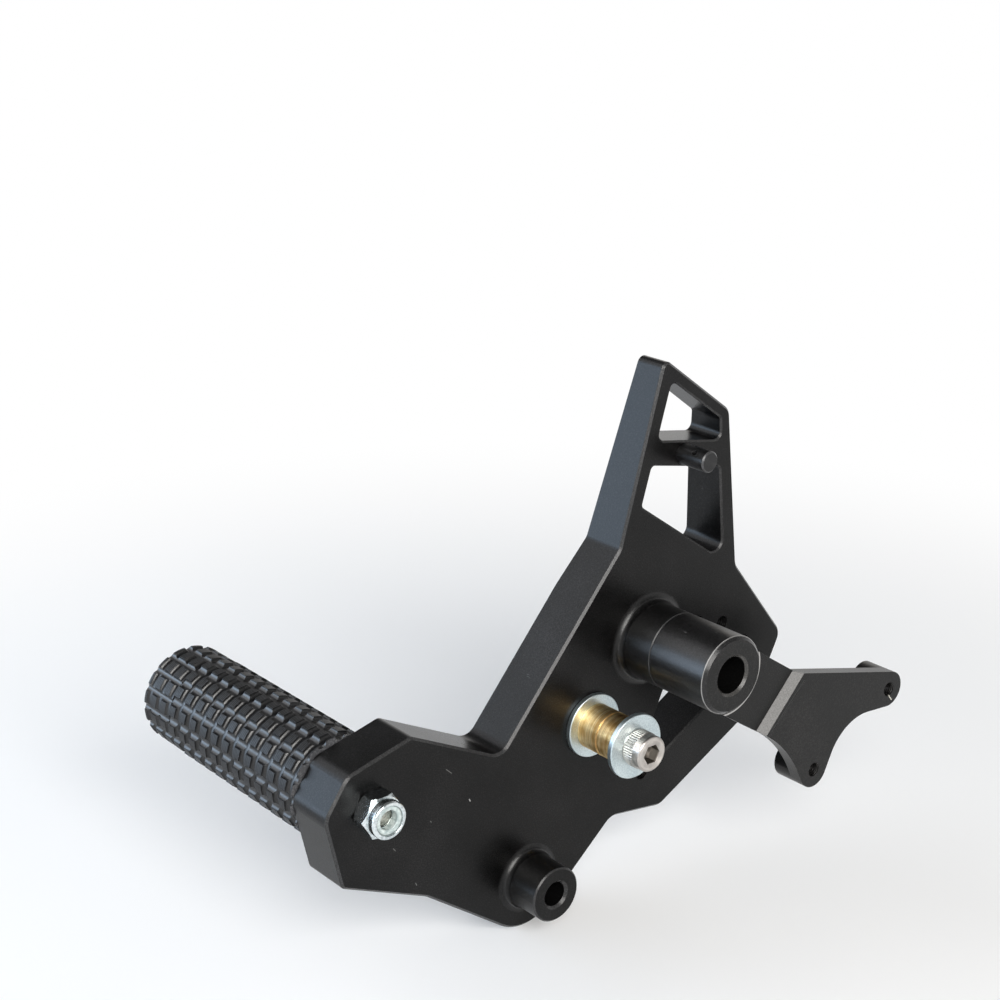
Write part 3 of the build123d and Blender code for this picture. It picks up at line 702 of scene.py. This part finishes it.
def knurl(name, axis, look, body):
    """Straight knurl round a screw head, with ends that run out into the head."""
    rows = (
        (KNURL_LOW, 0.0), (KNURL_LOW + KNURL_RUNOUT, KNURL_HEIGHT),
        (KNURL_HIGH - KNURL_RUNOUT, KNURL_HEIGHT), (KNURL_HIGH, 0.0),
    )
    count = 2 * KNURL_TEETH
    points = []
    for y, height in rows:
        for i in range(count):
            points.append(on_circle(axis, KNURL_ROOT + height * (i % 2), tau * i / count, y))
    faces = []
    for j in range(len(rows) - 1):
        for i in range(count):
            k = (i + 1) % count
            faces.append((j * count + i, j * count + k, (j + 1) * count + k, (j + 1) * count + i))
    piece_of(name, points, faces, look, body, smooth=False)


knurl("screw_head_knurl", PIVOT_AXIS, screw_steel, "plate")


# Studio: floor, backdrop light and soft boxes
def studio_node(tree, kind, inputs=None, **settings):
    """A node with its settings, and numbers or links for its inputs."""
    made = tree.nodes.new(kind)
    for name, value in settings.items():
        setattr(made, name, value)
    for name, value in (inputs or {}).items():
        if isinstance(value, bpy.types.NodeSocket):
            tree.links.new(value, made.inputs[name])
        else:
            made.inputs[name].default_value = value
    return made


def studio_math(tree, operation, first, second):
    made = studio_node(tree, "ShaderNodeMath", {0: first, 1: second}, operation=operation)
    return made.outputs[0]


def studio_mix(tree, share, first, second):
    """Shader between two shaders."""
    return studio_node(tree, "ShaderNodeMixShader", {0: share, 1: first, 2: second}).outputs[0]


def ray_kinds(tree):
    """Masks of rays from the camera, and of rays that are mirrored or pass through glass."""
    path = studio_node(tree, "ShaderNodeLightPath").outputs
    mirrored = studio_math(tree, "MAXIMUM", path["Is Glossy Ray"], path["Is Transmission Ray"])
    return path["Is Camera Ray"], mirrored


WHITE = (1, 1, 1, 1)
FLOOR_SIZE = 6.0
FLOOR_CENTRE = (0.02, -0.02)
FLOOR_GAP = 0.2 * MM
FLOOR_COLOUR, FLOOR_ROUGHNESS = (0.75, 0.75, 0.75, 1), 0.9
# Glow that the camera sees in the floor, and the distances over which it turns plain white
FLOOR_LIFT = 0.2
FADE_START, FADE_END = 0.14, 0.42


def floor_material():
    """Pale floor that keeps the shadow near the object and fades to plain white further out."""
    material = bpy.data.materials.new("floor")
    material.use_nodes = True
    tree = material.node_tree
    pale = tree.nodes["Principled BSDF"]
    pale.inputs["Base Color"].default_value = FLOOR_COLOUR
    pale.inputs["Roughness"].default_value = FLOOR_ROUGHNESS
    pale.inputs["Specular IOR Level"].default_value = 0.0
    seen = studio_math(tree, "MAXIMUM", *ray_kinds(tree))
    place = studio_node(tree, "ShaderNodeTexCoord").outputs["Object"]
    distance = studio_node(tree, "ShaderNodeVectorMath", {0: place}, operation="LENGTH")
    fade = studio_node(
        tree,
        "ShaderNodeMapRange",
        {"Value": distance.outputs["Value"], "From Min": FADE_START, "From Max": FADE_END},
        interpolation_type="SMOOTHSTEP",
    )
    white_share = studio_math(tree, "MULTIPLY", fade.outputs[0], seen)
    white = studio_node(tree, "ShaderNodeEmission", {"Strength": 1.0})
    lift_level = studio_math(tree, "MULTIPLY", seen, FLOOR_LIFT)
    lift = studio_node(tree, "ShaderNodeEmission", {"Strength": lift_level})
    lifted = studio_node(tree, "ShaderNodeAddShader", {0: pale.outputs[0], 1: lift.outputs[0]})
    near = studio_mix(tree, white_share, lifted.outputs[0], white.outputs[0])
    below = studio_node(tree, "ShaderNodeNewGeometry").outputs["Backfacing"]
    clear = studio_node(tree, "ShaderNodeBsdfTransparent")
    sided = studio_mix(tree, below, near, clear.outputs[0])
    tree.links.new(sided, tree.nodes["Material Output"].inputs["Surface"])
    return material


half = FLOOR_SIZE / 2
floor_mesh = bpy.data.meshes.new("floor")
floor_mesh.from_pydata(
    [(-half, -half, 0), (half, -half, 0), (half, half, 0), (-half, half, 0)], [], [(0, 1, 2, 3)]
)
floor_mesh.materials.append(floor_material())
floor = bpy.data.objects.new("floor", floor_mesh)
floor.location = (*FLOOR_CENTRE, cad_low.z - FLOOR_GAP)
bpy.context.scene.collection.objects.link(floor)

# World: white backdrop for the camera; in mirrored rays it is dim overhead; soft fill for the rest
BACKDROP_TOP, CEILING_START = 0.0, 0.75
BACKDROP_LEVEL, CEILING_LEVEL = 1.0, 0.12
FILL_COLOUR, FILL_LEVEL = (0.97, 0.985, 1.0, 1), 0.2


def make_world():
    world = bpy.data.worlds.new("studio")
    world.use_nodes = True
    tree = world.node_tree
    tree.nodes.clear()
    camera_ray, mirrored_ray = ray_kinds(tree)
    direction = studio_node(tree, "ShaderNodeTexCoord").outputs["Generated"]
    up = studio_node(tree, "ShaderNodeSeparateXYZ", {0: direction}).outputs["Z"]
    gradient = studio_node(
        tree,
        "ShaderNodeMapRange",
        {
            "Value": up, "From Min": BACKDROP_TOP, "From Max": CEILING_START,
            "To Min": BACKDROP_LEVEL, "To Max": CEILING_LEVEL,
        },
        interpolation_type="SMOOTHSTEP",
    ).outputs[0]
    kind = "ShaderNodeBackground"
    white = studio_node(tree, kind, {"Color": WHITE, "Strength": BACKDROP_LEVEL}).outputs[0]
    mirrored = studio_node(tree, kind, {"Color": WHITE, "Strength": gradient}).outputs[0]
    fill = studio_node(tree, kind, {"Color": FILL_COLOUR, "Strength": FILL_LEVEL}).outputs[0]
    unseen = studio_mix(tree, mirrored_ray, fill, mirrored)
    studio_node(
        tree, "ShaderNodeOutputWorld", {"Surface": studio_mix(tree, camera_ray, unseen, white)}
    )
    return world


bpy.context.scene.world = make_world()

LAMP_AIM = Vector((0.02, 0, -0.01))


def soft_box(name, direction, distance, width, height, radiance, colour):
    """Rectangular lamp that faces the object; its power follows from its brightness and size."""
    data = bpy.data.lights.new(name, "AREA")
    data.shape = "RECTANGLE"
    data.size, data.size_y = width, height
    data.energy = radiance * pi * width * height
    data.color = colour
    lamp = bpy.data.objects.new(name, data)
    away = Vector(direction).normalized()
    lamp.location = LAMP_AIM + away * distance
    lamp.rotation_mode = "QUATERNION"
    lamp.rotation_quaternion = (-away).to_track_quat("-Z", "Y")
    lamp.visible_camera = False
    bpy.context.scene.collection.objects.link(lamp)


# Lamps: name, direction from the object, distance, width, height, brightness, colour
LAMPS = [
    ("key", (0.36, 0.78, 0.46), 1.1, 0.75, 0.6, 11.0, (1.0, 0.98, 0.95)),
    ("left_window", (0.76, -0.64, 0.08), 0.9, 1.4, 0.55, 4.6, (0.60, 0.78, 1.0)),
    ("back_card", (0.42, -0.70, 0.58), 1.0, 0.8, 0.5, 1.8, (0.96, 0.97, 1.0)),
    ("rim", (-0.75, -0.5, 0.42), 1.1, 0.6, 0.5, 1.1, (1.0, 0.95, 0.88)),
]
for lamp in LAMPS:
    soft_box(*lamp)

# Camera at the photograph's place
SENSOR_WIDTH, FOCAL_LENGTH = 36.0, 68.96
NEAREST, FURTHEST = 0.01, 50.0
CAMERA_PLACE = (0.341577, 0.350603, 0.211344)
CAMERA_RIGHT = Vector((-0.77214, 0.63545, 0.0))
CAMERA_UP = Vector((-0.21003, -0.25521, 0.94380))
CAMERA_BACK = Vector((0.59974, 0.72874, 0.33052))

camera_data = bpy.data.cameras.new("camera")
camera_data.sensor_width = SENSOR_WIDTH
camera_data.lens = FOCAL_LENGTH
camera_data.clip_start, camera_data.clip_end = NEAREST, FURTHEST
camera = bpy.data.objects.new("camera", camera_data)
camera.rotation_mode = "QUATERNION"
camera_axes = Matrix((CAMERA_RIGHT, CAMERA_UP, CAMERA_BACK)).transposed()
camera.rotation_quaternion = camera_axes.to_quaternion()
camera.location = CAMERA_PLACE
bpy.context.scene.collection.objects.link(camera)
bpy.context.scene.camera = camera
bpy.context.scene.view_settings.view_transform = "Standard"
